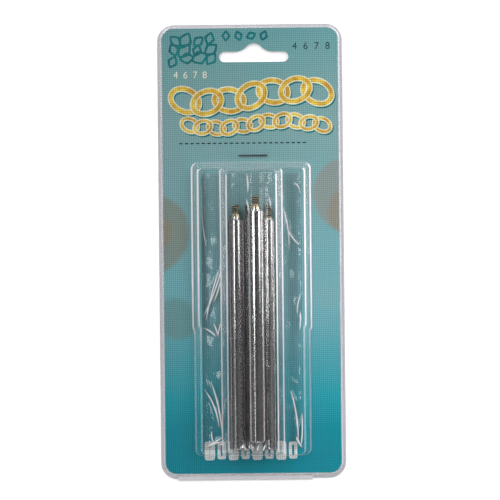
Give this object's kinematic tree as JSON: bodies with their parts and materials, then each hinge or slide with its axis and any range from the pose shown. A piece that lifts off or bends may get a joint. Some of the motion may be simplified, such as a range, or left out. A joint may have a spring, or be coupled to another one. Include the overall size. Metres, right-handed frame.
{
  "type": "jump ring mandrel set",
  "caption": "Carded clear clamshell pack with a hang slot and a stepped blister, holding chromed winding mandrels with threaded studs in a film bag.",
  "frame": {"origin": "middle of the rectangle that the pack covers, on the surface that it lies on", "axes": "+X to the pack's right, +Y along the pack towards the hang slot, +Z out of the printed front"},
  "size_m": [0.0826, 0.2032, 0.015],
  "materials": {
    "clear_shell": "clear formed sheet, glossy",
    "card": "printed and coated board with a fine linen grain",
    "staple_wire": "drawn wire",
    "film": "thin crinkled film",
    "chrome_rod": "polished plating, with a duller stud"
  },
  "bodies": {
    "root": {"back_shell": "clear_shell", "printed_card": "card", "polybag": "film", "hinge_strip": "clear_shell"},
    "lid": {"front_shell": "clear_shell", "staple": "staple_wire"},
    "mandrel_4mm": {"mandrel_4mm": "chrome_rod"},
    "mandrel_6mm": {"mandrel_6mm": "chrome_rod"},
    "mandrel_7mm": {"mandrel_7mm": "chrome_rod"},
    "mandrel_8mm": {"mandrel_8mm": "chrome_rod"}
  },
  "joints": [
    {"name": "lid_hinge", "type": "hinge", "parent": "root", "child": "lid", "pos_m": [0, -0.101, 0.0006], "axis": [1, 0, 0], "range_deg": [0, 135], "deforming": ["hinge_strip", "staple"]},
    {"name": "mandrel_4mm_slide", "type": "slide", "parent": "root", "child": "mandrel_4mm", "axis": [0, 1, 0], "range_m": [-0.0005, 0.012]},
    {"name": "mandrel_6mm_slide", "type": "slide", "parent": "root", "child": "mandrel_6mm", "axis": [0, 1, 0], "range_m": [-0.0002, 0.012]},
    {"name": "mandrel_7mm_slide", "type": "slide", "parent": "root", "child": "mandrel_7mm", "axis": [0, 1, 0], "range_m": [-0.0005, 0.012]},
    {"name": "mandrel_8mm_slide", "type": "slide", "parent": "root", "child": "mandrel_8mm", "axis": [0, 1, 0], "range_m": [-0.0028, 0.0095]}
  ]
}
